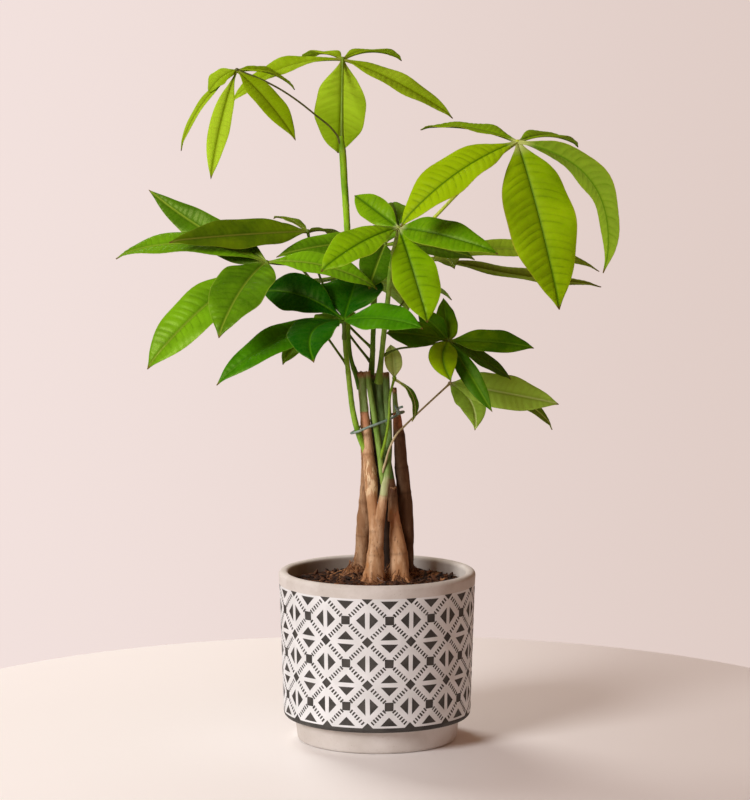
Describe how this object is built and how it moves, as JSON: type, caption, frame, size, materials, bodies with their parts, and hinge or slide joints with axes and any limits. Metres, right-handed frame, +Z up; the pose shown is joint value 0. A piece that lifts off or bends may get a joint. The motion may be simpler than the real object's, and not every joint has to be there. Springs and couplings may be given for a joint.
{
  "type": "potted money tree",
  "caption": "Potted money tree: bundled woody trunks tied with wire, palmate glossy leaves, soil with bark chips, in a round straight-sided pot with a geometric lattice band and a low foot.",
  "frame": {"origin": "middle of the pot's flat base, on the surface that it stands on", "axes": "+Z up along the pot's axis and the trunks, -Y towards the side that the picture shows, +X to that side's right"},
  "size_m": [0.3726, 0.2428, 0.5245],
  "materials": {
    "pot": "matte",
    "soil": "matte",
    "bark": "satin",
    "bark_dark": "satin",
    "tie": "satin",
    "leaf_bright": "gloss",
    "leaf_dark": "gloss"
  },
  "bodies": {
    "root": {"pot": "pot", "soil": "soil", "trunk_front": "bark", "trunk_left": "bark", "trunk_right_front": "bark", "trunk_right_back": "bark_dark", "trunk_back": "bark_dark", "tie": "tie", "leaf_top": "leaf_bright", "leaf_top_left": "leaf_bright", "leaf_upper_right": "leaf_bright", "leaf_center": "leaf_bright", "leaf_left": "leaf_dark", "leaf_left_back": "leaf_dark", "leaf_lower_left": "leaf_dark", "leaf_right": "leaf_dark", "leaf_lower_right": "leaf_dark", "leaf_young": "leaf_bright", "leaf_right_back": "leaf_dark", "leaf_center_back": "leaf_dark", "leaf_inner_left": "leaf_dark", "leaf_back": "leaf_dark"}
  },
  "joints": []
}
